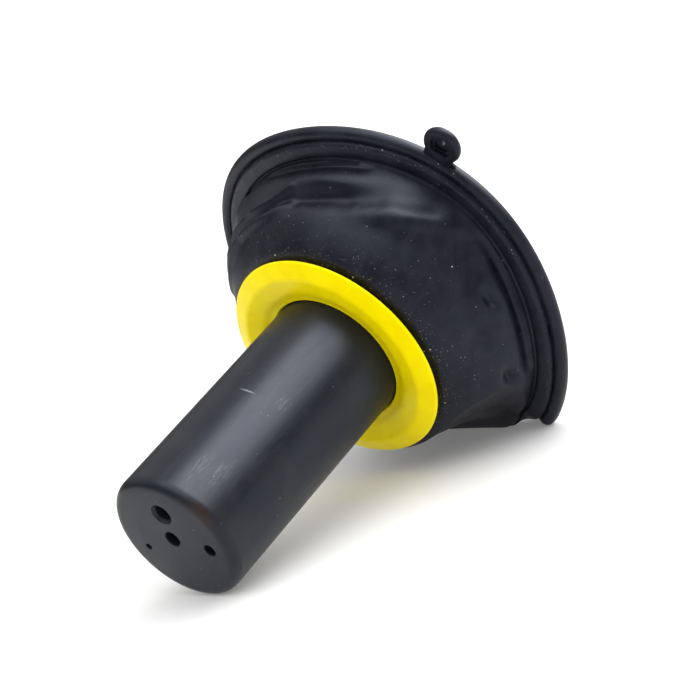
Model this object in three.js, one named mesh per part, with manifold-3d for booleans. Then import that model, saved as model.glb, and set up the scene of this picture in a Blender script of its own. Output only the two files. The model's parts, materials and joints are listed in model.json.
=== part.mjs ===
// Vacuum piston and diaphragm of a small constant-velocity carburettor, lying on a table.
// Millimetres, +Z up, table at z = 0. The closed end of the slide faces -Y and the cup opens towards +Y.
//
// Everything is first made along the piston's own axis and then leaned as one group:
// local z runs from the closed end to the rim, local y points down to the table, local x is row X.

import * as THREE from 'three';
import { mergeVertices } from 'three/addons/utils/BufferGeometryUtils.js';
import Module from 'manifold-3d';

// Slide: a hard-anodised tube, closed at the front, with a clamping flange at the back.
const SLIDE_RADIUS = 11;
const SLIDE_EDGE_ROUND = 1.4;
const BORE_RADIUS = 9.4;
const END_WALL = 3.2;
const FLANGE_RADIUS = 16.8;
const FLANGE_START = 45.2;
const FLANGE_THICKNESS = 1.6;
const COLLAR_RADIUS = 11.6;
const SLIDE_LENGTH = 48.6;
const NEEDLE_BOSS_RADIUS = 3.4;
const NEEDLE_BOSS_HEIGHT = 1.8;
const FLANGE_FILLET = 0.6;
const FLANGE_CHAMFER = 0.3;
const COLLAR_CHAMFER = 0.4;
const BORE_CHAMFER = 0.5;
const DRILL_LENGTH = 13;

// Holes through the end wall: distance to the right of and below the axis, and radius.
const END_HOLES = [
  { name: 'needle', right: 0, below: 0, radius: 1.25 },
  { name: 'vacuum', right: 1.2, below: -4.9, radius: 1.4 },
  { name: 'bleed', right: 6.6, below: 1.7, radius: 0.95 },
  { name: 'drill_mark', right: -6.4, below: 1, radius: 0.5 },
];

// Retaining ring: a dished plastic collar that holds the diaphragm against the flange. Its front is
// crested: it falls away inwards to the bore and outwards to a thin edge.
const RING_OUTER_RADIUS = 18.5;
const RING_CREST_RADIUS = 15.7;
const RING_BORE_RADIUS = 11.35;
const RING_FRONT = 41.6;
const RING_DISH_DEPTH = 1.1;
const RING_EDGE_STATION = 42.6;
const RING_BACK = 43.8;
const RING_EDGE_THICKNESS = 0.4;
const RING_UNDERCUT = 1.2;

// Diaphragm: one rubber moulding, split where the clamped, rolling and carried zones meet.
const RUBBER = 0.9;
const JOINT_GAP = 0.3;
const INNER_BEAD_RADIUS = 14;
const RIM_CENTRE_RADIUS = 31.2;
const RIM_BEAD_RADIUS = 1.1;
const RIM_STATION = 59.1;
const BAND_INNER_RADIUS = 27.4;
const BAND_STATION = 57.9;
const GROOVE_RISE = 0.2;
const SEAL_LOOP_ANGLE = 133;
const SEAL_LOOP_CENTRE = 35.6;
const SEAL_LOOP_OUTER = 3.15;
const SEAL_LOOP_NECK = 2.3;
const SEAL_LOOP_HOLE = 1.1;
const SEAL_LOOP_THICKNESS = 2;

// Outside of the rolling wall: it leaves the clamped bead flat and meets the band steeply.
const WALL_START = [18.7, 44.2];
const WALL_START_PULL = [20.6, 44.4];
const WALL_END_PULL = [25.6, 50];
const WALL_END = [26.9, 57];
const WALL_STEPS = 8;

// How it lies: the slide's rounded edge and the flattened side of the rim touch the table.
const LEAN = THREE.MathUtils.degToRad(15.6);
const FLAT_REACH = 0.2;
const CORNER_SOFTNESS = 1;
const MIDDLE_Y = 31.264;

const ROUND_STEPS = 48;
const RIM_STEPS = 60;
const HOLE_STEPS = 20;

const wasm = await Module();
wasm.setup();

const edgeCentreRadius = SLIDE_RADIUS - SLIDE_EDGE_ROUND;
const axisHeight =
  edgeCentreRadius * Math.cos(LEAN) - SLIDE_EDGE_ROUND * Math.sin(LEAN) + SLIDE_EDGE_ROUND;
const rimFlatRadius =
  (axisHeight - RIM_BEAD_RADIUS + RIM_STATION * Math.sin(LEAN)) / Math.cos(LEAN);

// Points of an arc in the section plane, where x is the radius and y the station along the axis.
function arc(centreRadius, centreStation, radius, fromDegrees, toDegrees, steps) {
  const points = [];
  for (let i = 0; i <= steps; i += 1) {
    const angle = THREE.MathUtils.degToRad(fromDegrees + ((toDegrees - fromDegrees) * i) / steps);
    const x = centreRadius + radius * Math.cos(angle);
    const y = centreStation + radius * Math.sin(angle);
    points.push(new THREE.Vector2(x, y));
  }
  return points;
}

function point(radius, station) {
  return new THREE.Vector2(radius, station);
}

// Turns a section about the piston axis, with a flat facet centred on the side that faces down.
function turned(section, steps) {
  const geometry = new THREE.LatheGeometry(section, steps);
  geometry.rotateX(Math.PI / 2);
  geometry.rotateZ(Math.PI / steps);
  return geometry;
}

// A section that closes on itself, given without its repeated first point.
function turnedRing(section, steps) {
  return turned([...section, section[0].clone()], steps);
}

// How far the rim is pushed in by the table at one place round it. The angle is from straight down.
function rimInset(angle) {
  const across = Math.cos(angle);
  if (across < FLAT_REACH) {
    return 0;
  }
  const flat = rimFlatRadius / across;
  const both = Math.exp(-flat / CORNER_SOFTNESS) + Math.exp(-RIM_CENTRE_RADIUS / CORNER_SOFTNESS);
  return RIM_CENTRE_RADIUS + CORNER_SOFTNESS * Math.log(both);
}

// Lets a turned rubber piece rest on the table: full inset at the rim, none at the retaining ring.
function settle(geometry) {
  const position = geometry.getAttribute('position');
  for (let i = 0; i < position.count; i += 1) {
    const x = position.getX(i);
    const y = position.getY(i);
    const share = THREE.MathUtils.smoothstep(position.getZ(i), RING_BACK, BAND_STATION);
    const radius = Math.hypot(x, y);
    const scale = 1 - (rimInset(Math.atan2(x, y)) * share) / radius;
    position.setXY(i, x * scale, y * scale);
  }
  return geometry;
}

function toSolid(geometry) {
  const bare = geometry.clone();
  bare.deleteAttribute('normal');
  bare.deleteAttribute('uv');
  const merged = mergeVertices(bare, 1e-4);
  const index = merged.getIndex().array;
  const kept = [];
  for (let i = 0; i < index.length; i += 3) {
    const [a, b, c] = [index[i], index[i + 1], index[i + 2]];
    if (a !== b && b !== c && c !== a) {
      kept.push(a, b, c);
    }
  }
  const vertProperties = new Float32Array(merged.getAttribute('position').array);
  return new wasm.Manifold(
    new wasm.Mesh({ numProp: 3, vertProperties, triVerts: new Uint32Array(kept) })
  );
}

function toGeometry(solid) {
  const mesh = solid.getMesh();
  const geometry = new THREE.BufferGeometry();
  geometry.setAttribute('position', new THREE.BufferAttribute(mesh.vertProperties, 3));
  geometry.setIndex(new THREE.BufferAttribute(mesh.triVerts, 1));
  geometry.computeVertexNormals();
  return geometry;
}

function drill(radius, length) {
  const tool = new THREE.CylinderGeometry(radius, radius, length, HOLE_STEPS);
  tool.rotateX(Math.PI / 2);
  return tool;
}

function slideGeometry() {
  const flangeEnd = FLANGE_START + FLANGE_THICKNESS;
  const bossTop = END_WALL + NEEDLE_BOSS_HEIGHT;
  const section = [
    point(0, 0),
    ...arc(edgeCentreRadius, SLIDE_EDGE_ROUND, SLIDE_EDGE_ROUND, -90, 0, 5),
    point(SLIDE_RADIUS, FLANGE_START - FLANGE_FILLET),
    point(SLIDE_RADIUS + FLANGE_FILLET, FLANGE_START),
    point(FLANGE_RADIUS - FLANGE_CHAMFER, FLANGE_START),
    point(FLANGE_RADIUS, FLANGE_START + FLANGE_CHAMFER),
    point(FLANGE_RADIUS, flangeEnd - FLANGE_CHAMFER),
    point(FLANGE_RADIUS - FLANGE_CHAMFER, flangeEnd),
    point(COLLAR_RADIUS, flangeEnd),
    point(COLLAR_RADIUS, SLIDE_LENGTH - COLLAR_CHAMFER),
    point(COLLAR_RADIUS - COLLAR_CHAMFER, SLIDE_LENGTH),
    point(BORE_RADIUS + BORE_CHAMFER, SLIDE_LENGTH),
    point(BORE_RADIUS, SLIDE_LENGTH - BORE_CHAMFER),
    point(BORE_RADIUS, END_WALL),
    point(NEEDLE_BOSS_RADIUS, END_WALL),
    point(NEEDLE_BOSS_RADIUS, bossTop),
    point(0, bossTop),
  ];
  let solid = toSolid(turned(section, ROUND_STEPS));
  for (const hole of END_HOLES) {
    const tool = drill(hole.radius, DRILL_LENGTH);
    tool.translate(hole.right, hole.below, 0);
    solid = solid.subtract(toSolid(tool));
  }
  return toGeometry(solid);
}

function ringGeometry() {
  const section = [
    point(RING_BORE_RADIUS, RING_FRONT + RING_DISH_DEPTH),
    point(RING_CREST_RADIUS, RING_FRONT),
    point(RING_OUTER_RADIUS, RING_EDGE_STATION),
    point(RING_OUTER_RADIUS, RING_EDGE_STATION + RING_EDGE_THICKNESS),
    point(RING_OUTER_RADIUS - RING_UNDERCUT, RING_BACK),
    point(RING_BORE_RADIUS, RING_BACK),
  ];
  return turnedRing(section, ROUND_STEPS);
}

function innerBeadGeometry() {
  const front = RING_BACK + JOINT_GAP;
  const back = FLANGE_START - JOINT_GAP;
  const section = [
    point(INNER_BEAD_RADIUS, front),
    point(FLANGE_RADIUS, front),
    point(FLANGE_RADIUS, back),
    point(INNER_BEAD_RADIUS, back),
  ];
  return turnedRing(section, ROUND_STEPS);
}

// The rolling wall flares from the clamped bead out to the flat band, like a shallow bell.
function membraneGeometry() {
  const front = RING_BACK + JOINT_GAP;
  const start = FLANGE_RADIUS + JOINT_GAP;
  const end = BAND_INNER_RADIUS - JOINT_GAP;
  const bell = new THREE.CubicBezierCurve(
    ...[WALL_START, WALL_START_PULL, WALL_END_PULL, WALL_END].map((place) => point(...place))
  );
  const outside = bell.getPoints(WALL_STEPS);
  const inside = outside.map((place, i) => {
    const along = bell.getTangent(i / WALL_STEPS);
    return point(place.x - along.y * RUBBER, place.y + along.x * RUBBER);
  });
  const section = [
    point(start, front),
    ...outside,
    point(end, BAND_STATION),
    point(end, BAND_STATION + RUBBER),
    ...inside.reverse(),
    point(start, front + RUBBER),
  ];
  return settle(turnedRing(section, RIM_STEPS));
}

// The seal loop is round, with a short neck that runs back into the bead.
function sealLoopGeometry() {
  const shoulder = Math.acos(SEAL_LOOP_NECK / SEAL_LOOP_OUTER);
  const neckRoot = RIM_CENTRE_RADIUS - SEAL_LOOP_CENTRE;
  const outline = new THREE.Shape();
  outline.moveTo(SEAL_LOOP_NECK, neckRoot);
  outline.absarc(0, 0, SEAL_LOOP_OUTER, -shoulder, Math.PI + shoulder, false);
  outline.lineTo(-SEAL_LOOP_NECK, neckRoot);
  outline.closePath();
  const settings = { depth: SEAL_LOOP_THICKNESS, bevelEnabled: false, curveSegments: HOLE_STEPS };
  const loop = new THREE.ExtrudeGeometry(outline, settings);
  loop.translate(0, SEAL_LOOP_CENTRE, RIM_STATION - SEAL_LOOP_THICKNESS / 2);
  loop.rotateZ(-THREE.MathUtils.degToRad(SEAL_LOOP_ANGLE));
  return loop;
}

// The clamped rim: a flat band, a groove and a round bead, with a small seal loop standing out.
function rimGeometry() {
  const bandBack = BAND_STATION + RUBBER;
  const neck = RIM_CENTRE_RADIUS - RIM_BEAD_RADIUS;
  const section = [
    point(BAND_INNER_RADIUS, BAND_STATION),
    point(neck, BAND_STATION + GROOVE_RISE),
    ...arc(RIM_CENTRE_RADIUS, RIM_STATION, RIM_BEAD_RADIUS, -112.5, 157.5, 6),
    point(neck, bandBack + GROOVE_RISE),
    point(BAND_INNER_RADIUS, bandBack),
  ];
  const rim = toSolid(settle(turnedRing(section, RIM_STEPS)));
  const hole = drill(SEAL_LOOP_HOLE, DRILL_LENGTH);
  hole.translate(0, SEAL_LOOP_CENTRE, RIM_STATION);
  hole.rotateZ(-THREE.MathUtils.degToRad(SEAL_LOOP_ANGLE));
  return toGeometry(rim.add(toSolid(sealLoopGeometry())).subtract(toSolid(hole)));
}

function finish(color, roughness, metalness) {
  return new THREE.MeshStandardMaterial({ color, roughness, metalness });
}

const anodised = finish(0x2b2c2f, 0.42, 0.75);
const yellowPlastic = finish(0xf7e000, 0.28, 0);
const rubber = finish(0x1a1b1e, 0.6, 0);

const pieces = [
  ['slide', slideGeometry(), anodised],
  ['retaining_ring', ringGeometry(), yellowPlastic],
  ['diaphragm_inner_bead', innerBeadGeometry(), rubber],
  ['diaphragm_membrane', membraneGeometry(), rubber],
  ['diaphragm_rim', rimGeometry(), rubber],
];

const leaning = new THREE.Group();
leaning.rotation.x = LEAN - Math.PI / 2;
leaning.position.set(0, -MIDDLE_Y, axisHeight);
for (const [name, geometry, material] of pieces) {
  const mesh = new THREE.Mesh(geometry, material);
  mesh.name = name;
  leaning.add(mesh);
}

const piston = new THREE.Group();
piston.name = 'vacuum_piston';
piston.add(leaning);

export default piston;
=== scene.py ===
# A carburettor's vacuum piston lying on a table: anodised slide, plastic retaining ring, rubber diaphragm.
# Pieces are made in millimetres about the piston's own axis, then leaned and placed by one matrix.

import json
import math

import bpy
import numpy as np
from mathutils import Matrix, Vector


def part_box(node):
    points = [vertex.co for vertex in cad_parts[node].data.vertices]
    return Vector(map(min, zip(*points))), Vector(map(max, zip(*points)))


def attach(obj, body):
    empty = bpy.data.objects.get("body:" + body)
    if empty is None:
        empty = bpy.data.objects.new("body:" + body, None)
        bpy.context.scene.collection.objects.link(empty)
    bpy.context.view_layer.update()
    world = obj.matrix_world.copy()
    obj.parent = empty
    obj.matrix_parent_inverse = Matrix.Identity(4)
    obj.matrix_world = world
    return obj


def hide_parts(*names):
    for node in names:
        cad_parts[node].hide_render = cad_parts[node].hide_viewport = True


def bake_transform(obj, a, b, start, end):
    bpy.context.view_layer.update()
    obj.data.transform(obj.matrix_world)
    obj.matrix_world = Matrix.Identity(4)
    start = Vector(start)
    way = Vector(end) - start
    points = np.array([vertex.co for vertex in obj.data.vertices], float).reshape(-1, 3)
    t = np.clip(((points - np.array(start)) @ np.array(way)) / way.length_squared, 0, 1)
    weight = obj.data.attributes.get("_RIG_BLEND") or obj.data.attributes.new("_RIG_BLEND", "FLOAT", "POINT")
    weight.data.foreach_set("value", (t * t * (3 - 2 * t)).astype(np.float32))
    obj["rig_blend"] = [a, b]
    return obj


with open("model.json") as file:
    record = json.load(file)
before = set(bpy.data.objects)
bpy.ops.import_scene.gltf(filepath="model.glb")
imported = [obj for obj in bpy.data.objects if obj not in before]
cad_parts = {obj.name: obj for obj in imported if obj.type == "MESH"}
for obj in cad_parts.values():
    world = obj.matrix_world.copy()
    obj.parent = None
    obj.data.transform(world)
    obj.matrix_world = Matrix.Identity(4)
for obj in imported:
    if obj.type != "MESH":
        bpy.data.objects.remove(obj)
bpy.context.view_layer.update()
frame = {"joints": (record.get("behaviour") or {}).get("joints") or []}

MM = 0.001
MERGE_DISTANCE = 1e-4

# Slide: radii, and stations along the axis from the closed end. The round edge at the closed end starts with
# a slight fall of the face, and is a little longer along the axis than it is wide.
SLIDE_RADIUS = 11.0
SLIDE_EDGE = 1.5
SLIDE_EDGE_LENGTH = 1.75
SLIDE_EDGE_LEAD = 0.12
SLIDE_EDGE_FALL = 0.015
SLIDE_EDGE_SWEEP = (14, 90)
CAD_EDGE_ROUND = 1.4
MIDDLE_STATION = 20.0
BORE_RADIUS = 9.4
BORE_CHAMFER = 0.45
BORE_CORNER = 0.4
END_WALL = 3.2
BOSS_RADIUS = 3.4
BOSS_TOP = 5.0
BOSS_CHAMFER = 0.2
BOSS_FACE = 2.8
FLANGE_RADIUS = 16.8
FLANGE_FRONT = 45.2
FLANGE_BACK = 46.8
FLANGE_CHAMFER = 0.15
FLANGE_FILLET = 0.5
COLLAR_RADIUS = 11.6
COLLAR_CHAMFER = 0.3
SLIDE_LENGTH = 48.6

# Holes through the end wall: right of the axis, below it, radius, and width of the countersink.
END_HOLES = {
    "needle": (0.1, -0.4, 1.3, 0.12),
    "vacuum": (1.2, -5.0, 1.4, 0.34),
    "bleed": (6.6, 1.8, 0.98, 0.1),
    "drill_mark": (-6.4, 1.0, 0.5, 0.08),
}

# Retaining ring: crested in front, falling inwards to the bore over a small step, and outwards to a thin
# edge. The cone's places are given out from the bore and back from the cone's bottom.
RING_OUTER = 18.5
RING_CREST = 15.7
RING_CREST_FRONT = 41.65
RING_CREST_ROUND = 1.6
RING_CREST_SWEEP = (256, 291)
RING_BORE = 11.12
RING_CONE_BOTTOM = 42.62
RING_CONE = ((0, 0.3), (0.2, 0.02), (1.1, -0.12), (1.25, -0.26), (2.4, -0.5))
RING_EDGE = 42.87
RING_EDGE_ROUND = 0.4
RING_EDGE_SWEEP = (291, 380)
RING_FOOT = 17.0
RING_CHAMFER = 0.2
RING_BACK = 43.8

# Diaphragm: the clamped zone under the ring, the wall's outer curve as a Bezier, the band and the bead.
RUBBER = 0.9
CLAMPED_FRONT = 43.86
CLAMPED_BACK = 45.14
CLAMPED_INNER = 14.0
CLAMPED_MIDDLE = 16.2
CLAMPED_OUTER = 17.8
CLAMPED_OUTER_BACK = 17.6
CLAMPED_EASE = 0.04
WALL_CURVE = ((18.7, 44.0), (20.6, 44.2), (25.6, 50.0), (27.2, 57.4))
WALL_STEPS = 64
BAND_STATION = 57.9
BAND_LIP = 57.7
BEAD_CENTRE = 31.2
BEAD_STATION = 59.1
BEAD_RADIUS = 1.08
BEAD_SWEEP = 149

# The band between wall and bead, as radius and how far back of the lip or of the band's back face: in front
# a low ridge, the flat and the rise into the groove; behind, the bead's root, the flat and the wall's root.
BAND_FRONT_PLACES = (
    (27.24, 0.02), (27.36, 0.25), (27.5, 0.3), (27.62, 0.2), (27.72, 0.08), (27.92, 0),
    (28.5, 0), (29.3, 0.02), (29.75, 0.1), (30.0, 0.32), (30.14, 0.6),
)
BAND_BACK_PLACES = (
    (30.1, 0.62), (29.8, 0.3), (29.3, 0.1), (28.2, 0), (27.3, -0.05), (26.7, -0.35), (26.4, -0.85),
)

# Seal loop on the bead, in degrees from the top towards +X. Its D-shaped recesses step down inside each
# other: radius, place of the flat side, and depth.
LOOP_ANGLE = 47.0
LOOP_CENTRE = 35.0
LOOP_OUTER = 3.1
LOOP_THICKNESS = 1.5
LOOP_NECK = 4.8
LOOP_NECK_THINNING = 0.92
LOOP_EDGE = 0.45
LOOP_FACE_LEAD = 0.1
LOOP_NUB_SIZE = (1.3, 0.4, 0.4)
LOOP_NUB_TURN = 0.35
LOOP_NUB_REACH = 0.68
LOOP_NUB_RISE = 0.1
LOOP_RECESSES = ((1.75, -1.2, 0.5), (1.25, -0.85, 0.85))
LOOP_RECESS_SHIFT = 0.12
LOOP_FLAT_CUTTER = (8, 4, 8)
LOOP_HOLE_RADIUS = 0.35
LOOP_HOLE_SHIFT = 0.3

TURN_STEPS = 256
RUBBER_TURN_STEPS = 416
LOOP_TURN_STEPS = 72
LOOP_EDGE_STEPS = 5
HOLE_STEPS = 48
FINE_HOLE_STEPS = 32


# ---- The piston's own frame: x across, y down, z along the axis from the closed end ----

def piston_frame():
    along = Vector(frame["joints"][0]["axis"]).normalized()
    across = Vector((1, 0, 0))
    down = along.cross(across)
    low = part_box("slide")[0]
    rise = along.z
    level = along.y
    edge = SLIDE_RADIUS - CAD_EDGE_ROUND
    height = low.z / MM + CAD_EDGE_ROUND + edge * level - CAD_EDGE_ROUND * rise
    end = low.y / MM + CAD_EDGE_ROUND + edge * rise - CAD_EDGE_ROUND * level
    turn = Matrix((across, down, along)).transposed().to_4x4()
    return Matrix.Translation((0, end * MM, height * MM)) @ turn @ Matrix.Scale(MM, 4)


PISTON = piston_frame()
LEAN = math.asin(PISTON.col[2].z / MM)
AXIS_HEIGHT = PISTON.translation.z / MM


def place(piece):
    """Puts a piece made in the piston's frame where it lies, with its object at the origin."""
    piece.data.transform(PISTON)
    piece.matrix_world = Matrix.Identity(4)
    piece.data.update()


# ---- Modelling by hand: rings extruded one after another, holes cut, edges softened ----

def start_clean():
    if bpy.context.object and bpy.context.object.mode != "OBJECT":
        bpy.ops.object.mode_set(mode="OBJECT")
    bpy.ops.object.select_all(action="DESELECT")


def pick(piece):
    start_clean()
    bpy.context.view_layer.objects.active = piece
    piece.select_set(True)


def turned(name, section, steps, closed=False):
    """Extrudes a ring along a section of (radius, station) places, and caps its ends or joins them."""
    start_clean()
    radius, station = section[0]
    bpy.ops.mesh.primitive_circle_add(vertices=steps, radius=radius, location=(0, 0, station))
    piece = bpy.context.object
    piece.name = name
    bpy.ops.object.transform_apply(location=True, rotation=True, scale=True)
    bpy.ops.object.mode_set(mode="EDIT")
    bpy.ops.mesh.select_mode(type="EDGE")
    bpy.ops.mesh.select_all(action="SELECT")
    if not closed:
        bpy.ops.mesh.edge_face_add()
    for next_radius, next_station in section[1:] + (section[:1] if closed else []):
        bpy.ops.mesh.extrude_edges_move(TRANSFORM_OT_translate={"value": (0, 0, next_station - station)})
        grow = next_radius / radius
        bpy.ops.transform.resize(value=(grow, grow, 1), center_override=(0, 0, next_station))
        radius, station = next_radius, next_station
    if not closed:
        bpy.ops.mesh.edge_face_add()
    bpy.ops.mesh.select_all(action="SELECT")
    bpy.ops.mesh.remove_doubles(threshold=MERGE_DISTANCE)
    bpy.ops.mesh.normals_make_consistent(inside=False)
    bpy.ops.object.mode_set(mode="OBJECT")
    return piece


def arc(centre, radius, start, end, steps):
    """Places on an arc in the section plane, angles in degrees from straight outwards."""
    angles = np.radians(np.linspace(start, end, steps + 1))
    return [(centre[0] + radius * math.cos(a), centre[1] + radius * math.sin(a)) for a in angles]


def bezier(points, steps):
    t = np.linspace(0, 1, steps + 1)[:, None]
    a, b, c, d = (np.array(p) for p in points)
    return (1 - t) ** 3 * a + 3 * t * (1 - t) ** 2 * b + 3 * t * t * (1 - t) * c + t ** 3 * d


def boolean(piece, tool, operation):
    """Cuts a tool out of a piece or joins it on, and removes the tool."""
    pick(piece)
    cut = piece.modifiers.new("join", "BOOLEAN")
    cut.object = tool
    cut.operation = operation
    cut.solver = "EXACT"
    bpy.ops.object.modifier_apply(modifier=cut.name)
    bpy.data.objects.remove(tool)


def smooth(piece, degrees):
    pick(piece)
    bpy.ops.object.shade_smooth_by_angle(angle=math.radians(degrees))


# ---- Materials ----

def shader(name):
    material = bpy.data.materials.new(name)
    material.use_nodes = True
    tree = material.node_tree
    return material, tree, tree.nodes["Principled BSDF"]


def add(tree, kind, settings=None, **inputs):
    """Adds a node, sets its properties and plain inputs, and links inputs that are sockets."""
    made = tree.nodes.new(kind)
    for key, value in (settings or {}).items():
        setattr(made, key, value)
    for key, value in inputs.items():
        socket = made.inputs[int(key[1:])] if key[0] == "i" and key[1:].isdigit() else made.inputs[key]
        if isinstance(value, bpy.types.NodeSocket):
            tree.links.new(value, socket)
        else:
            socket.default_value = value
    return made


def piston_coordinates(tree, stretch=(1, 1, 1)):
    """Millimetres in the piston's own frame, stretched along its axes."""
    place_in_row = add(tree, "ShaderNodeTexCoord").outputs["Object"]
    back = PISTON.inverted()
    to_mm = (1 / MM, 1 / MM, 1 / MM)
    aligned = add(tree, "ShaderNodeMapping", {"vector_type": "POINT"}, Vector=place_in_row,
                  Location=back.translation, Rotation=back.to_euler(), Scale=to_mm).outputs[0]
    if stretch == (1, 1, 1):
        return aligned
    return add(tree, "ShaderNodeMapping", Vector=aligned, Scale=stretch).outputs[0]


def noise(tree, vector, scale, detail=4.0, roughness=0.5, distortion=0.0):
    return add(tree, "ShaderNodeTexNoise", Vector=vector, Scale=scale, Detail=detail,
               Roughness=roughness, Distortion=distortion).outputs[0]


def remap(tree, value, low, high, to_low=0.0, to_high=1.0):
    made = add(tree, "ShaderNodeMapRange", {"interpolation_type": "SMOOTHSTEP"}, Value=value)
    for key, number in zip(("From Min", "From Max", "To Min", "To Max"), (low, high, to_low, to_high)):
        made.inputs[key].default_value = number
    return made.outputs[0]


def math_node(tree, operation, a, b):
    return add(tree, "ShaderNodeMath", {"operation": operation}, i0=a, i1=b).outputs[0]


def times(tree, a, b):
    return math_node(tree, "MULTIPLY", a, b)


def larger(tree, a, b):
    return math_node(tree, "MAXIMUM", a, b)


def mix_colour(tree, share, a, b):
    return add(tree, "ShaderNodeMix", {"data_type": "RGBA"}, i0=share, i6=a, i7=b).outputs[2]


def bump(tree, height, strength, distance, normal=None):
    made = add(tree, "ShaderNodeBump", Height=height, Strength=strength, Distance=distance)
    if normal is not None:
        tree.links.new(normal, made.inputs["Normal"])
    return made.outputs[0]


def specks(tree, vector, scale, density, size):
    """Round specks: one in each cell of a random pattern, kept in the share of cells that density gives."""
    cells = add(tree, "ShaderNodeTexVoronoi", {"feature": "F1"}, Vector=vector, Scale=scale)
    drawn = add(tree, "ShaderNodeSeparateColor", Color=cells.outputs["Color"])
    near = math_node(tree, "LESS_THAN", cells.outputs["Distance"], times(tree, drawn.outputs[1], size))
    kept = math_node(tree, "LESS_THAN", drawn.outputs[0], density)
    return times(tree, near, kept)


def spot(tree, centre, size):
    """1 at a place in the piston's frame, fading to 0 over a size along each of its axes."""
    scale = tuple(1 / reach for reach in size)
    offset = tuple(-middle / reach for middle, reach in zip(centre, size))
    moved = add(tree, "ShaderNodeMapping", Vector=piston_coordinates(tree), Location=offset, Scale=scale)
    far = add(tree, "ShaderNodeVectorMath", {"operation": "LENGTH"}, i0=moved.outputs[0]).outputs["Value"]
    return remap(tree, far, low=0.3, high=1.0, to_low=1.0, to_high=0.0)


# Rubbed patches on the slide, the thin scratch and the bronze tint at the edge: centre and size in the
# piston's frame. Then the colours of each finish, and how strongly its marks and dust show.
SCUFFS = (
    ((6.9, -8.5, 6.3), (1.7, 1.7, 4.2)),
    ((9.0, -6.3, 7.4), (1.3, 1.5, 4.0)),
    ((8.9, -6.4, 23.2), (1.4, 1.6, 2.4)),
)
SCRATCH = ((4.8, -9.9, 21.9), (2.0, 1.2, 0.24))
WARM_EDGE = ((9.9, -4.8, 0.5), (3.2, 3.8, 1.1))

CHARCOAL_DEEP = (0.0045, 0.005, 0.008, 1)
CHARCOAL_PALE = (0.012, 0.013, 0.019, 1)
CHARCOAL_WARM = (0.014, 0.014, 0.017, 1)
BRONZE_TINT = (0.030, 0.017, 0.012, 1)
RUBBED_METAL = (0.17, 0.175, 0.175, 1)
BARE_METAL = (0.42, 0.42, 0.42, 1)
GREY_DUST = (0.30, 0.30, 0.30, 1)
CHARCOAL_SHEEN = (0.78, 0.84, 1.0, 1)
BRONZE_SHARE = 0.85
RUBBED_SHARE = 0.42
SCRATCH_SHARE = 0.6
SLIDE_DUST_SHARE = 0.45

YELLOW_DEEP = (0.93, 0.745, 0.0, 1)
YELLOW_PALE = (0.98, 0.80, 0.0, 1)
YELLOW_SHEEN = (1.0, 0.84, 0.0, 1)
SETTLED_DUST = (0.75, 0.66, 0.3, 1)
RING_DUST_SHARE = 0.5

RUBBER_DEEP = (0.0025, 0.0028, 0.0055, 1)
RUBBER_BLOOM = (0.0080, 0.0085, 0.0135, 1)
RUBBER_SHEEN = (0.76, 0.80, 1.0, 1)
GREY_LINT = (0.46, 0.46, 0.47, 1)
YELLOW_LINT = (0.55, 0.46, 0.10, 1)
YELLOW_LINT_SHARE = 0.6

# Small, tiny and large specks: cells to a millimetre, share of cells where dust gathers, size and strength.
RUBBER_SPECKS = ((2.9, 0.42, 0.26, 0.42), (5.0, 0.30, 0.30, 0.25), (0.9, 0.16, 0.13, 0.8))

TABLE_WHITE = (0.93, 0.93, 0.93, 1)
TABLE_LIGHT = (1.0, 0.985, 0.97, 1)
SKY_WHITE = (1.0, 1.0, 1.0, 1)


def anodised_finish():
    """Hard-anodised aluminium: charcoal, semi-matt, drawn lengthwise, with rubbed patches and a scratch."""
    material, tree, body = shader("anodised_charcoal")
    plain = piston_coordinates(tree)
    drawn = piston_coordinates(tree, stretch=(2.2, 2.2, 0.12))
    scored = piston_coordinates(tree, stretch=(3.4, 3.4, 0.35))
    streaks = noise(tree, drawn, scale=1.6, detail=6.0, roughness=0.65)
    clouds = noise(tree, plain, scale=0.16, detail=3.0, roughness=0.55)
    grain = noise(tree, plain, scale=9.0, detail=2.0, roughness=0.6)
    score = noise(tree, scored, scale=1.3, detail=6.0, roughness=0.7, distortion=0.3)
    charcoal = mix_colour(tree, streaks, CHARCOAL_DEEP, CHARCOAL_PALE)
    warm = mix_colour(tree, remap(tree, clouds, low=0.42, high=0.66), charcoal, CHARCOAL_WARM)
    warm = mix_colour(tree, times(tree, spot(tree, *WARM_EDGE), BRONZE_SHARE), warm, BRONZE_TINT)
    rubbed = spot(tree, *SCUFFS[0])
    for patch in SCUFFS[1:]:
        rubbed = larger(tree, rubbed, spot(tree, *patch))
    rubbed = times(tree, rubbed, remap(tree, score, low=0.47, high=0.66))
    scratch = times(tree, spot(tree, *SCRATCH), remap(tree, grain, low=0.35, high=0.55))
    worn = mix_colour(tree, times(tree, rubbed, RUBBED_SHARE), warm, RUBBED_METAL)
    worn = mix_colour(tree, times(tree, scratch, SCRATCH_SHARE), worn, BARE_METAL)
    dust = times(tree, specks(tree, plain, scale=1.5, density=0.05, size=0.16), SLIDE_DUST_SHARE)
    tree.links.new(mix_colour(tree, dust, worn, GREY_DUST), body.inputs["Base Color"])
    drawn_roughness = remap(tree, streaks, low=0.3, high=0.7, to_low=0.29, to_high=0.42)
    grain_roughness = remap(tree, grain, low=0.3, high=0.7, to_low=-0.03, to_high=0.05)
    tree.links.new(math_node(tree, "ADD", drawn_roughness, grain_roughness), body.inputs["Roughness"])
    body.inputs["Specular IOR Level"].default_value = 0.24
    body.inputs["Specular Tint"].default_value = CHARCOAL_SHEEN
    fine = bump(tree, grain, strength=0.12, distance=0.03 * MM)
    tree.links.new(bump(tree, streaks, strength=0.2, distance=0.05 * MM, normal=fine), body.inputs["Normal"])
    return material


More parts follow.
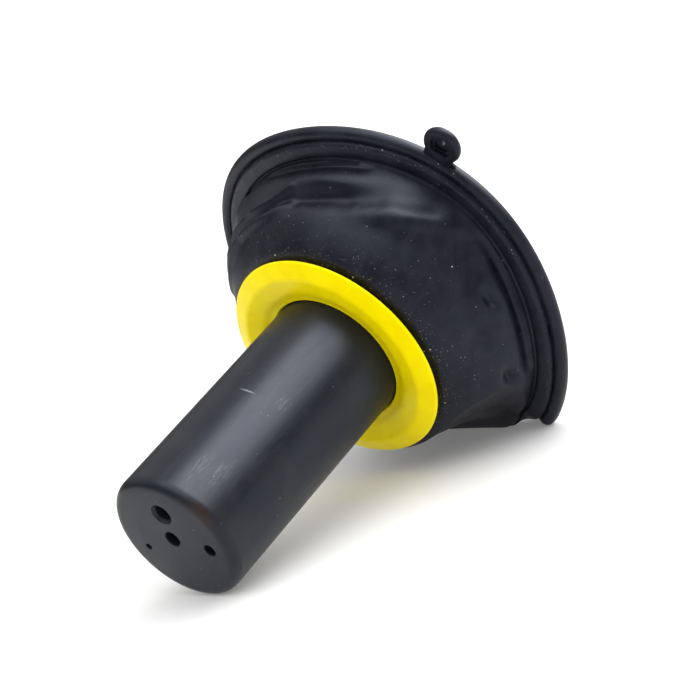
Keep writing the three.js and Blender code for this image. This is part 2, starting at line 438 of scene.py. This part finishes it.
def yellow_finish():
    """Glossy moulded yellow plastic with faint flow marks and a little dust."""
    material, tree, body = shader("yellow_gloss_plastic")
    plain = piston_coordinates(tree)
    flow = noise(tree, plain, scale=0.22, detail=3.0, roughness=0.5, distortion=0.8)
    fine = noise(tree, plain, scale=3.5, detail=4.0, roughness=0.6)
    sunny = mix_colour(tree, remap(tree, flow, low=0.35, high=0.65), YELLOW_DEEP, YELLOW_PALE)
    dust = times(tree, specks(tree, plain, scale=1.6, density=0.03, size=0.12), RING_DUST_SHARE)
    tree.links.new(mix_colour(tree, dust, sunny, SETTLED_DUST), body.inputs["Base Color"])
    roughness = remap(tree, fine, low=0.3, high=0.7, to_low=0.28, to_high=0.38)
    tree.links.new(roughness, body.inputs["Roughness"])
    body.inputs["Specular IOR Level"].default_value = 0.2
    body.inputs["Specular Tint"].default_value = YELLOW_SHEEN
    tree.links.new(bump(tree, flow, strength=0.06, distance=0.3 * MM), body.inputs["Normal"])
    return material


def rubber_finish():
    """Black moulded rubber: a soft grey bloom, fine skin texture, and lint and dust where it gathers."""
    material, tree, body = shader("black_rubber")
    plain = piston_coordinates(tree)
    gathers = add(tree, "ShaderNodeAttribute", {"attribute_name": "dustiness"}).outputs["Fac"]
    by_ring = add(tree, "ShaderNodeAttribute", {"attribute_name": "yellow_dust"}).outputs["Fac"]
    bloom = noise(tree, plain, scale=0.2, detail=5.0, roughness=0.6, distortion=0.5)
    skin = noise(tree, plain, scale=5.5, detail=3.0, roughness=0.62)
    black = mix_colour(tree, remap(tree, bloom, low=0.36, high=0.66), RUBBER_DEEP, RUBBER_BLOOM)
    dust = None
    for cells, share, size, strength in RUBBER_SPECKS:
        density = times(tree, gathers, share)
        layer = times(tree, specks(tree, plain, cells, density, size), strength)
        dust = layer if dust is None else larger(tree, dust, layer)
    lint = mix_colour(tree, times(tree, by_ring, YELLOW_LINT_SHARE), GREY_LINT, YELLOW_LINT)
    tree.links.new(mix_colour(tree, dust, black, lint), body.inputs["Base Color"])
    bloom_roughness = remap(tree, bloom, low=0.3, high=0.7, to_low=0.40, to_high=0.50)
    skin_roughness = remap(tree, skin, low=0.3, high=0.7, to_low=-0.03, to_high=0.05)
    tree.links.new(math_node(tree, "ADD", bloom_roughness, skin_roughness), body.inputs["Roughness"])
    body.inputs["Specular IOR Level"].default_value = 0.28
    body.inputs["Specular Tint"].default_value = RUBBER_SHEEN
    fine = bump(tree, skin, strength=0.2, distance=0.06 * MM)
    tree.links.new(bump(tree, bloom, strength=0.22, distance=0.4 * MM, normal=fine), body.inputs["Normal"])
    return material


def floor_finish():
    material, _, body = shader("white_table")
    body.inputs["Base Color"].default_value = TABLE_WHITE
    body.inputs["Roughness"].default_value = 0.55
    body.inputs["Specular IOR Level"].default_value = 0.25
    body.inputs["Emission Color"].default_value = TABLE_LIGHT
    body.inputs["Emission Strength"].default_value = TABLE_GLOW
    return material


def wear(piece, material):
    piece.data.materials.clear()
    piece.data.materials.append(material)


# ---- Slide ----

def slide_section():
    """From the closed end's face round the outside to the back, and down the bore to the boss."""
    edge_start = SLIDE_RADIUS - SLIDE_EDGE
    edge_angles = np.radians(np.linspace(*SLIDE_EDGE_SWEEP, num=10))
    edge = [(edge_start + SLIDE_EDGE * math.sin(a), SLIDE_EDGE_LENGTH * (1 - math.cos(a)) + SLIDE_EDGE_FALL)
            for a in edge_angles]
    fillet = (SLIDE_RADIUS + FLANGE_FILLET, FLANGE_FRONT - FLANGE_FILLET)
    return [
        (edge_start - SLIDE_EDGE_LEAD, 0),
        (edge_start, SLIDE_EDGE_FALL),
        *edge,
        (SLIDE_RADIUS, MIDDLE_STATION),
        (SLIDE_RADIUS, FLANGE_FRONT - FLANGE_FILLET),
        *arc(fillet, FLANGE_FILLET, 180, 90, steps=4)[1:],
        (FLANGE_RADIUS - FLANGE_CHAMFER, FLANGE_FRONT),
        (FLANGE_RADIUS, FLANGE_FRONT + FLANGE_CHAMFER),
        (FLANGE_RADIUS, FLANGE_BACK - FLANGE_CHAMFER),
        (FLANGE_RADIUS - FLANGE_CHAMFER, FLANGE_BACK),
        (COLLAR_RADIUS + COLLAR_CHAMFER, FLANGE_BACK),
        (COLLAR_RADIUS, FLANGE_BACK + COLLAR_CHAMFER),
        (COLLAR_RADIUS, SLIDE_LENGTH - COLLAR_CHAMFER),
        (COLLAR_RADIUS - COLLAR_CHAMFER, SLIDE_LENGTH),
        (BORE_RADIUS + BORE_CHAMFER, SLIDE_LENGTH),
        (BORE_RADIUS, SLIDE_LENGTH - BORE_CHAMFER),
        (BORE_RADIUS, MIDDLE_STATION),
        (BORE_RADIUS, END_WALL + BORE_CORNER),
        (BORE_RADIUS - BORE_CORNER, END_WALL),
        (BOSS_RADIUS + BORE_CORNER, END_WALL),
        (BOSS_RADIUS, END_WALL + BORE_CORNER),
        (BOSS_RADIUS, BOSS_TOP - BOSS_CHAMFER),
        (BOSS_RADIUS - BOSS_CHAMFER, BOSS_TOP),
        (BOSS_FACE, BOSS_TOP),
    ]


def drill(piece, right, below, radius, sink):
    """A hole through the end wall, and a wide cone from outside the face that leaves its countersink."""
    start_clean()
    bpy.ops.mesh.primitive_cylinder_add(vertices=HOLE_STEPS, radius=radius, depth=4 * BOSS_TOP,
                                        location=(right, below, 0))
    boolean(piece, bpy.context.object, "DIFFERENCE")
    start_clean()
    bpy.ops.mesh.primitive_cone_add(vertices=HOLE_STEPS, radius1=radius + 2 * sink, radius2=0.9 * radius,
                                    depth=3 * sink, location=(right, below, sink / 2))
    boolean(piece, bpy.context.object, "DIFFERENCE")


def make_slide(material):
    slide = turned("slide_body", slide_section(), TURN_STEPS)
    for hole in END_HOLES.values():
        drill(slide, *hole)
    smooth(slide, degrees=28)
    wear(slide, material)
    place(slide)
    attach(slide, "piston")
    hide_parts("slide")


# ---- Retaining ring ----

def make_ring(material):
    crest = (RING_CREST, RING_CREST_FRONT + RING_CREST_ROUND)
    edge = (RING_OUTER - RING_EDGE_ROUND, RING_EDGE)
    section = [
        *((RING_BORE + out, RING_CONE_BOTTOM + back) for out, back in RING_CONE),
        *arc(crest, RING_CREST_ROUND, *RING_CREST_SWEEP, steps=9),
        *arc(edge, RING_EDGE_ROUND, *RING_EDGE_SWEEP, steps=8),
        (RING_FOOT + RING_CHAMFER, RING_BACK - RING_CHAMFER / 2),
        (RING_FOOT, RING_BACK),
        (RING_BORE + RING_CHAMFER, RING_BACK),
        (RING_BORE, RING_BACK - RING_CHAMFER),
    ]
    ring = turned("retaining_ring_moulding", section, TURN_STEPS, closed=True)
    smooth(ring, degrees=35)
    wear(ring, material)
    place(ring)
    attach(ring, "piston")
    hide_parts("retaining_ring")


# ---- Diaphragm ----

def offset_inwards(curve, distance):
    """The curve that runs beside another, on the rubber's side of it."""
    along = np.gradient(curve, axis=0)
    along /= np.linalg.norm(along, axis=1)[:, None]
    return curve + distance * np.stack((-along[:, 1], along[:, 0]), axis=1)


def diaphragm_section():
    outside = bezier(WALL_CURVE, WALL_STEPS)
    inside = offset_inwards(outside, RUBBER)
    band_back = BAND_STATION + RUBBER
    return [
        (CLAMPED_INNER, CLAMPED_FRONT),
        (CLAMPED_MIDDLE, CLAMPED_FRONT),
        (CLAMPED_OUTER, CLAMPED_FRONT + CLAMPED_EASE),
        *(tuple(point) for point in outside),
        *((radius, BAND_LIP + back) for radius, back in BAND_FRONT_PLACES),
        *arc((BEAD_CENTRE, BEAD_STATION), BEAD_RADIUS, -BEAD_SWEEP, BEAD_SWEEP, steps=34),
        *((radius, band_back + back) for radius, back in BAND_BACK_PLACES),
        *(tuple(point) for point in inside[::-1]),
        (CLAMPED_OUTER_BACK, CLAMPED_BACK),
        (CLAMPED_MIDDLE, CLAMPED_BACK),
        (CLAMPED_INNER, CLAMPED_BACK),
    ]


# How finely the middle of the sheet is followed, and the gaps between its flat stretches and the wall.
SKIN_WALL_STEPS = 160
SKIN_FLAT_STEPS = 20
SKIN_RING_GAP = 0.05
SKIN_BAND_GAP = 0.1
SKIN_BATCH = 8192


class Skin:
    """The middle of the rubber sheet, from the clamped zone out to the bead: places, normals, and the share
    of the way along the wall, which is 0 in the clamped zone and 1 on the band."""

    def __init__(self):
        wall = offset_inwards(bezier(WALL_CURVE, SKIN_WALL_STEPS), RUBBER / 2)
        clamped = self.flat(CLAMPED_INNER, wall[0, 0] - SKIN_RING_GAP, wall[0, 1])
        band = self.flat(wall[-1, 0] + SKIN_BAND_GAP, BEAD_CENTRE + BEAD_RADIUS, BAND_STATION + RUBBER / 2)
        self.places = np.concatenate((clamped, wall, band))
        length = np.concatenate(([0], np.cumsum(np.linalg.norm(np.diff(wall, axis=0), axis=1))))
        share = length / length[-1]
        self.along = np.concatenate((np.zeros(SKIN_FLAT_STEPS), share, np.ones(SKIN_FLAT_STEPS)))
        run = np.gradient(self.places, axis=0)
        run /= np.linalg.norm(run, axis=1)[:, None]
        self.normals = np.stack((run[:, 1], -run[:, 0]), axis=1)

    @staticmethod
    def flat(inner, outer, station):
        radii = np.linspace(inner, outer, SKIN_FLAT_STEPS)
        return np.stack((radii, np.full(SKIN_FLAT_STEPS, station)), axis=1)

    def nearest(self, radius, station):
        found = np.empty(len(radius), int)
        for start in range(0, len(radius), SKIN_BATCH):
            part = slice(start, start + SKIN_BATCH)
            out = radius[part, None] - self.places[:, 0]
            back = station[part, None] - self.places[:, 1]
            found[part] = (out ** 2 + back ** 2).argmin(axis=1)
        return found

    def point(self, degrees, along):
        """The place at an angle from the top and a share along the wall, the first where shares are equal."""
        k = np.argmin(np.abs(self.along - along) + 1e-6 * np.arange(len(self.along)))
        radius, station = self.places[k]
        a = math.radians(degrees)
        return np.array((radius * math.sin(a), -radius * math.cos(a), station))


# Folds, creases and dents of the wall. Each follows places given as degrees from the top towards +X and
# share of the way from the ring to the band, with its height in mm (dents are negative) and its half width.
FOLDS = (
    (((-60, 0.37), (-44, 0.43), (-29, 0.48), (-14, 0.52), (-4, 0.62), (2, 0.70)), 1.15, 0.75),
    (((-58, 0.27), (-43, 0.32), (-28, 0.37), (-10, 0.41), (2, 0.53)), 1.15, 0.85),
    (((-56, 0.32), (-36, 0.39), (-20, 0.435), (-6, 0.49)), -0.9, 0.6),
    (((-5, 0.55), (8, 0.585), (20, 0.60), (36, 0.65)), -1.5, 1.7),
    (((-2, 0.74), (14, 0.76), (30, 0.78)), 0.55, 1.6),
    (((-14, 0.965), (6, 0.97), (26, 0.97)), -0.9, 1.1),
    (((-96, 0.92), (-66, 0.95), (-36, 0.94)), 1.9, 1.7),
    (((85, 0.69), (89, 0.72), (92, 0.76)), -0.95, 0.8),
    (((93, 0.40), (100, 0.50), (105, 0.60)), -1.1, 1.5),
    (((117, 0.67), (121, 0.72), (123, 0.77)), -1.1, 1.0),
    (((32, 0.54), (48, 0.63), (60, 0.80)), 1.2, 1.8),
    (((64, 0.88), (74, 0.70), (86, 0.50)), -1.2, 2.1),
    (((72, 0.96), (95, 0.965), (120, 0.955)), -1.1, 1.2),
    (((-60, 0.08), (-72, 0.28), (-84, 0.45), (-104, 0.55)), -1.3, 2.6),
    (((-92, 0.75), (-84, 0.45)), 0.35, 1.2),
)

# The free rim isn't quite round or flat: its mean, then cosine and sine of one, two and three turns, in mm.
RIM_WARP_OUT = (0.17, -0.18, 0.10, 0.23, -0.30, -0.32, 0.11)
RIM_WARP_BACK = (0.19, 0.13, -0.02, -0.29, 0.43, -0.76, 0.05)

# Where the flange rests on the table it folds back in line with the wall, about the band's inner edge. It
# starts and is full at these degrees from straight down, and what lies past these places turns with it.
FOLD_HINGE = (27.3, 58.3)
FOLD_STARTS = 35
FOLD_FULL = 22
FOLD_STATIONS = (57.3, 58.2)
FOLD_RADIUS = 27.9
FOLD_PAST_SHARE = 0.9

# The share along the wall where it is free to crease, between the ring's grip and the band's, and how far
# down the wall the lift of a flange that the table holds up is felt.
FREE_OF_RING = (0.03, 0.2)
FREE_OF_BAND = (0.965, 1.0)
KEEL_FREE_OF_RING = (0.02, 0.15)
KEEL_FREE_OF_BAND = (0.9, 1.0)
LIFT_FELT = (0.45, 1.0)
FLANGE_SHARE = 0.99
LIFT_SMOOTHING = 13

# How high the rubber stays over the table, and how softly it comes to rest there.
TABLE_GAP = 0.06
TABLE_EASE = 0.05

# The underside of the wall sinks to a shallow keel between two creases. At each station: how far below the
# axis the keel lies, and how far out and how far below the axis the creases lie. Then how soft the creases
# and how round the keel's bottom are.
KEEL_STATIONS = (44.0, 45.7, 48.1, 50.9, 54.0, 57.9)
KEEL_BELOW = (19.0, 19.9, 21.2, 22.6, 24.4, 26.6)
CREASE_OUT = (10.0, 15.6, 18.7, 20.9, 21.5, 17.2)
CREASE_BELOW = (16.9, 14.3, 13.4, 13.3, 14.9, 21.3)
CREASE_SOFTNESS = 0.09
KEEL_ROUND = 2.0

# How far in along the half wave a fold starts and ends, so that its ends keep some height.
FOLD_ENDS = 0.12


def fold_share(points, path, width):
    """1 on a fold's line, fading to the sides over its width and to both ends."""
    best = np.full(len(points), np.inf)
    passed = np.zeros(len(points))
    count = len(path) - 1
    for i, (a, b) in enumerate(zip(path, path[1:])):
        run = b - a
        share = np.clip((points - a) @ run / (run @ run), 0, 1)
        gap = np.linalg.norm(points - a - share[:, None] * run, axis=1)
        passed = np.where(gap < best, (i + share) / count, passed)
        best = np.minimum(best, gap)
    return np.exp(-(best / width) ** 2) * np.sin(math.pi * (FOLD_ENDS + (1 - 2 * FOLD_ENDS) * passed))


def smoothstep(x, low, high):
    t = np.clip((x - low) / (high - low), 0, 1)
    return t * t * (3 - 2 * t)


def wave(angle, terms):
    """A smooth wave round the rim, from its mean and the cosines and sines of its first turns."""
    total = np.full(len(angle), terms[0])
    for turns in (1, 2, 3):
        total += terms[2 * turns - 1] * np.cos(turns * angle) + terms[2 * turns] * np.sin(turns * angle)
    return total


def fold_back(radius, station, angle, share):
    """Turns the flange back about the band's inner edge, where it meets the table."""
    from_down = 180 - np.abs(np.degrees(angle))
    turn = math.pi / 2 * (1 - smoothstep(from_down, FOLD_FULL, FOLD_STARTS)) * share
    out, back = radius - FOLD_HINGE[0], station - FOLD_HINGE[1]
    return (FOLD_HINGE[0] + out * np.cos(turn) - back * np.sin(turn),
            FOLD_HINGE[1] + out * np.sin(turn) + back * np.cos(turn))


def lift_of_the_rim(angle, sunk, along):
    """How far the table lifts the whole flange at each place round it, so that its bead stays round."""
    column = np.round(angle / (2 * math.pi) * RUBBER_TURN_STEPS).astype(int) % RUBBER_TURN_STEPS
    most = np.zeros(RUBBER_TURN_STEPS)
    flange = along > FLANGE_SHARE
    np.maximum.at(most, column[flange], sunk[flange])
    kernel = np.hanning(LIFT_SMOOTHING)
    side = LIFT_SMOOTHING // 2
    most = np.convolve(np.concatenate((most[-side:], most, most[:side])), kernel / kernel.sum(), "valid")
    return most[column]


def keel_rise(across, below, station, along):
    """How far the wall's underside is raised, from the place on the middle of the rubber."""
    keel = np.interp(station, KEEL_STATIONS, KEEL_BELOW)
    out = np.interp(station, KEEL_STATIONS, CREASE_OUT)
    side = np.interp(station, KEEL_STATIONS, CREASE_BELOW)
    limit = keel - (keel - side) * np.sqrt(across ** 2 + KEEL_ROUND ** 2) / out
    rise = CREASE_SOFTNESS * np.logaddexp(0, (below - limit) / CREASE_SOFTNESS)
    free = smoothstep(along, *KEEL_FREE_OF_RING) * (1 - smoothstep(along, *KEEL_FREE_OF_BAND))
    return rise * free * (below > 0)


def sculpt_wall(piece, skin):
    """Moves both faces of the rubber alike: folds and dents, the rim's own shape, how it lies on the table.
    Gives the share along the wall and the radius of each point."""
    count = len(piece.data.vertices)
    co = np.empty(count * 3)
    piece.data.vertices.foreach_get("co", co)
    co = co.reshape(-1, 3)
    radius = np.hypot(co[:, 0], co[:, 1])
    angle = np.arctan2(co[:, 0], -co[:, 1])
    sine, cosine = np.sin(angle), np.cos(angle)
    k = skin.nearest(radius, co[:, 2])
    along = skin.along[k]
    middle = skin.places[k]
    middle = np.stack((middle[:, 0] * sine, -middle[:, 0] * cosine, middle[:, 1]), axis=1)

    lift = np.zeros(count)
    for path, height, width in FOLDS:
        lift += height * fold_share(middle, [skin.point(*stop) for stop in path], width)
    lift *= smoothstep(along, *FREE_OF_RING) * (1 - smoothstep(along, *FREE_OF_BAND))

    hinge = smoothstep(co[:, 2], *FOLD_STATIONS) * (along > FOLD_PAST_SHARE)
    folded = fold_back(radius, co[:, 2], angle, np.maximum(hinge, radius > FOLD_RADIUS))
    warped = smoothstep(along, 0.0, 1.0)
    radius = folded[0] + lift * skin.normals[k, 0] + wave(angle, RIM_WARP_OUT) * warped
    station = folded[1] + lift * skin.normals[k, 1] + wave(angle, RIM_WARP_BACK) * warped

    across = radius * sine
    below = -radius * cosine - keel_rise(middle[:, 0], middle[:, 1], middle[:, 2], along)
    table = (AXIS_HEIGHT + station * math.sin(LEAN)) / math.cos(LEAN)
    below = below - lift_of_the_rim(angle, below - table, along) * smoothstep(along, *LIFT_FELT)
    below = below - TABLE_EASE * np.logaddexp(0, (below - table + TABLE_GAP) / TABLE_EASE)

    piece.data.vertices.foreach_set("co", np.stack((across, below, station), axis=1).ravel())
    piece.data.update()
    return along, radius


def set_attribute(piece, name, values):
    made = piece.data.attributes.get(name) or piece.data.attributes.new(name, "FLOAT", "POINT")
    made.data.foreach_set("value", np.asarray(values, np.float32))


# Where dust gathers on the rubber, and how much of it. The groove and the edge by the ring are given by
# radius and half width, and the wall by the share along it where the dust thins out.
GROOVE_DUST = (29.9, 0.5)
GROOVE_DUSTINESS = 0.6
RING_DUST = (19.0, 1.3)
RING_DUSTINESS = 0.75
WALL_DUST_FADES = (0.05, 0.6)
WALL_DUSTINESS = 0.22
PLAIN_DUSTINESS = 0.05
LOOP_DUSTINESS = 0.06

# The share along the wall over which the rubber passes from following the piston to following the rim.
BLEND_RUNS = (0.06, 0.97)


def dust_band(radius, middle, half_width):
    return np.exp(-((radius - middle) / half_width) ** 2)


def make_diaphragm(material):
    sheet = turned("diaphragm", diaphragm_section(), RUBBER_TURN_STEPS, closed=True)
    along, radius = sculpt_wall(sheet, Skin())
    by_ring = dust_band(radius, *RING_DUST)
    dustiness = PLAIN_DUSTINESS + GROOVE_DUSTINESS * dust_band(radius, *GROOVE_DUST)
    dustiness += RING_DUSTINESS * by_ring
    dustiness += WALL_DUSTINESS * (1 - smoothstep(along, *WALL_DUST_FADES))
    set_attribute(sheet, "dustiness", dustiness)
    set_attribute(sheet, "yellow_dust", by_ring)
    smooth(sheet, degrees=50)
    wear(sheet, material)
    place(sheet)
    centre = PISTON @ Vector((0, 0, BAND_STATION))
    clamp = PISTON @ Vector((0, 0, RING_BACK))
    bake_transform(sheet, "rim", "piston", start=centre, end=clamp)
    # The wall is folded, so its share goes by the way along the rubber and not straight from start to end.
    set_attribute(sheet, "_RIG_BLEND", 1 - smoothstep(along, *BLEND_RUNS))
    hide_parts("diaphragm_membrane", "diaphragm_rim", "diaphragm_inner_bead")


def loop_disc():
    half = LOOP_THICKNESS / 2
    edge = LOOP_OUTER - half
    face = edge - LOOP_FACE_LEAD
    section = [(face, -half), *arc((edge, 0), half, -90, 90, steps=10), (face, half)]
    return turned("seal_loop", section, LOOP_TURN_STEPS)


def loop_neck(reach):
    """The bridge from the loop's middle to the bead, with rounded edges."""
    start_clean()
    bpy.ops.mesh.primitive_cube_add(size=1, location=(0, -reach / 2, 0),
                                    scale=(LOOP_NECK, reach, LOOP_NECK_THINNING * LOOP_THICKNESS))
    neck = bpy.context.object
    bpy.ops.object.transform_apply(location=True, rotation=True, scale=True)
    bpy.ops.object.mode_set(mode="EDIT")
    bpy.ops.mesh.select_all(action="SELECT")
    bpy.ops.mesh.bevel(offset=LOOP_EDGE, segments=LOOP_EDGE_STEPS, affect="EDGES")
    bpy.ops.object.mode_set(mode="OBJECT")
    return neck


def loop_nub(reach):
    """The small lug that moulding leaves beside the neck."""
    start_clean()
    bpy.ops.mesh.primitive_cube_add(size=1, location=(-LOOP_NECK / 2, -LOOP_NUB_REACH * reach, LOOP_NUB_RISE),
                                    rotation=(0, 0, LOOP_NUB_TURN), scale=LOOP_NUB_SIZE)
    return bpy.context.object


def loop_recess(radius, flat, depth):
    """A round cutter at the loop's front face, with one side cut flat."""
    front = -LOOP_THICKNESS / 2
    start_clean()
    bpy.ops.mesh.primitive_cylinder_add(vertices=HOLE_STEPS, radius=radius, depth=2 * depth,
                                        location=(0, LOOP_RECESS_SHIFT, front))
    recess = bpy.context.object
    start_clean()
    bpy.ops.mesh.primitive_cube_add(size=1, location=(0, flat - LOOP_FLAT_CUTTER[1] / 2, front),
                                    scale=LOOP_FLAT_CUTTER)
    boolean(recess, bpy.context.object, "DIFFERENCE")
    return recess


def set_on_rim(loop):
    """Moves the loop out from the axis, round to its place, and with the rim where that is warped."""
    loop.data.transform(Matrix.Translation((0, LOOP_CENTRE, 0)))
    loop.data.transform(Matrix.Rotation(math.radians(180 + LOOP_ANGLE), 4, "Z"))
    angle = np.radians([LOOP_ANGLE])
    out = wave(angle, RIM_WARP_OUT)[0]
    back = wave(angle, RIM_WARP_BACK)[0]
    sideways = Vector((math.sin(angle[0]), -math.cos(angle[0]), 0)) * out
    loop.data.transform(Matrix.Translation(sideways + Vector((0, 0, BEAD_STATION + back))))


def make_seal_loop(material):
    """The small round seal that stands out from the bead, with a D-shaped recess and a fine hole."""
    loop = loop_disc()
    reach = LOOP_CENTRE - BEAD_CENTRE
    boolean(loop, loop_neck(reach), "UNION")
    boolean(loop, loop_nub(reach), "UNION")
    for recess in LOOP_RECESSES:
        boolean(loop, loop_recess(*recess), "DIFFERENCE")
    start_clean()
    bpy.ops.mesh.primitive_cylinder_add(vertices=FINE_HOLE_STEPS, radius=LOOP_HOLE_RADIUS,
                                        depth=3 * LOOP_THICKNESS, location=(0, LOOP_HOLE_SHIFT, 0))
    boolean(loop, bpy.context.object, "DIFFERENCE")
    set_on_rim(loop)
    count = len(loop.data.vertices)
    set_attribute(loop, "dustiness", np.full(count, LOOP_DUSTINESS))
    set_attribute(loop, "yellow_dust", np.zeros(count))
    smooth(loop, degrees=45)
    wear(loop, material)
    place(loop)
    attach(loop, "rim")


# ---- Floor, light and camera ----

# The table is a white plate that glows a little. Each light has the direction it comes from, its strength and
# its width in degrees. The first two light the object but aren't mirrored in it, and the softboxes are only
# mirrored.
TABLE_SIZE = 6
TABLE_GLOW = 0.13
HORIZON_GLOW = 0.05
ZENITH_GLOW = 0.85
ZENITH_HEIGHT = 0.75
LIGHTING = {
    "key": ((0.42, 0.33, 0.84), 2.3, 84),
    "fill": ((-0.35, -0.85, 0.40), 1.0, 90),
}
SOFTBOXES = {
    "side_box": ((0.42, 0.40, 0.81), 5.6, 54),
    "back_box": ((0.05, 0.80, 0.60), 3.0, 46),
    "top_box": ((0.16, -0.30, 0.92), 2.2, 56),
}

# The camera's place from the middle of the closed end, and its angles in degrees.
CAMERA_FROM_END = Vector((245.77, -182.40, 87.89)) * MM
CAMERA_AZIMUTH = 47.25
CAMERA_ELEVATION = 12.88
CAMERA_ROLL = 18.83
CAMERA_LENS = 113.14
CAMERA_SENSOR = 36


def make_floor():
    start_clean()
    bpy.ops.mesh.primitive_plane_add(size=TABLE_SIZE, location=(0, 0, 0))
    floor = bpy.context.object
    floor.name = "table"
    wear(floor, floor_finish())


def make_world():
    """A studio: bright above, dark towards the horizon."""
    world = bpy.data.worlds.new("studio")
    world.use_nodes = True
    tree = world.node_tree
    sky = tree.nodes["Background"]
    direction = add(tree, "ShaderNodeTexCoord").outputs["Generated"]
    height = add(tree, "ShaderNodeSeparateXYZ", Vector=direction).outputs["Z"]
    glow = remap(tree, height, low=0.0, high=ZENITH_HEIGHT, to_low=HORIZON_GLOW, to_high=ZENITH_GLOW)
    tree.links.new(glow, sky.inputs["Strength"])
    sky.inputs["Color"].default_value = SKY_WHITE
    bpy.context.scene.world = world


def make_sun(name, direction, strength, width):
    data = bpy.data.lights.new(name, "SUN")
    data.energy = strength
    data.angle = math.radians(width)
    light = bpy.data.objects.new(name, data)
    light.rotation_euler = Vector(direction).to_track_quat("Z", "Y").to_euler()
    bpy.context.scene.collection.objects.link(light)
    return light


def make_lights():
    for name, settings in LIGHTING.items():
        make_sun(name, *settings).visible_glossy = False
    for name, settings in SOFTBOXES.items():
        make_sun(name, *settings).visible_diffuse = False


def make_camera():
    data = bpy.data.cameras.new("camera")
    data.sensor_width = CAMERA_SENSOR
    data.lens = CAMERA_LENS
    data.clip_start = 0.01
    data.clip_end = 10
    camera = bpy.data.objects.new("camera", data)
    camera.location = PISTON.translation + CAMERA_FROM_END
    azimuth = Matrix.Rotation(math.radians(CAMERA_AZIMUTH), 4, "Z")
    tilt = Matrix.Rotation(math.radians(90 - CAMERA_ELEVATION), 4, "X")
    roll = Matrix.Rotation(-math.radians(CAMERA_ROLL), 4, "Z")
    turn = azimuth @ tilt @ roll
    camera.rotation_euler = turn.to_euler()
    bpy.context.scene.collection.objects.link(camera)
    bpy.context.scene.camera = camera


make_world()
make_floor()
make_lights()
make_camera()
bpy.context.scene.view_settings.view_transform = "Standard"

rubber = rubber_finish()
make_slide(anodised_finish())
make_ring(yellow_finish())
make_diaphragm(rubber)
make_seal_loop(rubber)
